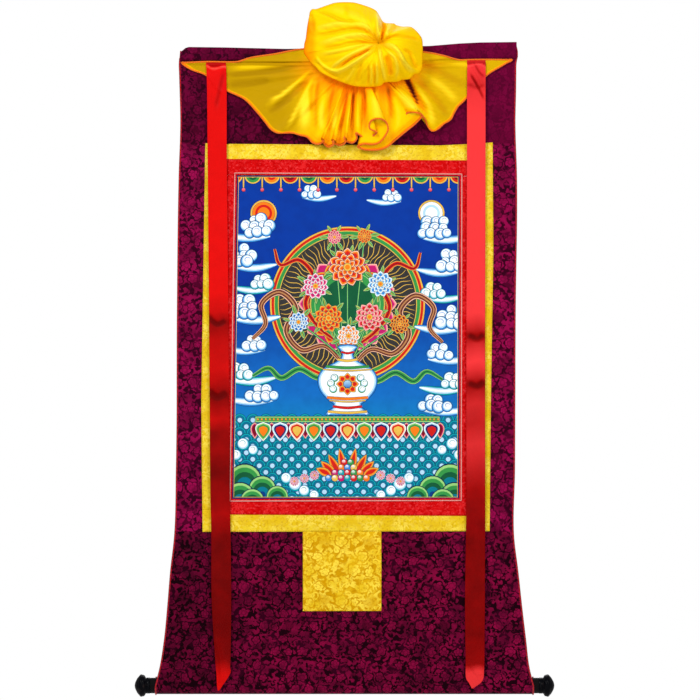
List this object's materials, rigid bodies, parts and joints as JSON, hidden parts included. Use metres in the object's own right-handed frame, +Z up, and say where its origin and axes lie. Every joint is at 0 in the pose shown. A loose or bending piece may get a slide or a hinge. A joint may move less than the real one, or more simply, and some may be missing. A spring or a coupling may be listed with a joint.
{
  "type": "thangka scroll painting with roller rod",
  "caption": "Hanging scroll: painted cloth in yellow and red brocade frames on a burgundy ground, with a gathered yellow veil, red ribbons and a roller with turned knobs.",
  "frame": {"origin": "middle of the heading's top edge, on the wall plane", "axes": "+Z up, +X to the viewer's right, -Y out of the wall towards the viewer"},
  "size_m": [0.8406, 0.1128, 1.3879],
  "materials": {
    "ground_brocade": "woven brocade, magenta blossoms on a purple black ground",
    "binding_cloth": "plain red binding",
    "yellow_brocade": "woven brocade, tone on tone",
    "red_brocade": "woven brocade, tone on tone",
    "painted_cotton": "painted cotton, matt",
    "piping_cord": "pale pink cord",
    "ribbon_satin": "satin",
    "veil_silk": "thin glossy silk, a little sheer",
    "rod_wood": "dark stained wood",
    "knob_lacquer": "black lacquer"
  },
  "bodies": {
    "root": {"top_panel": "ground_brocade", "left_panel": "ground_brocade", "right_panel": "ground_brocade", "bottom_panel": "ground_brocade", "binding_left": "binding_cloth", "binding_right": "binding_cloth", "yellow_frame_top": "yellow_brocade", "yellow_frame_foot": "yellow_brocade", "yellow_frame_left": "yellow_brocade", "yellow_frame_right": "yellow_brocade", "door_patch": "yellow_brocade", "red_frame_top": "red_brocade", "red_frame_foot": "red_brocade", "red_frame_left": "red_brocade", "red_frame_right": "red_brocade", "painting": "painted_cotton", "painting_piping": "piping_cord", "ribbon_left": "ribbon_satin", "ribbon_right": "ribbon_satin", "veil": "veil_silk", "roller_rod": "rod_wood", "knob_left": "knob_lacquer", "knob_right": "knob_lacquer"}
  },
  "joints": []
}
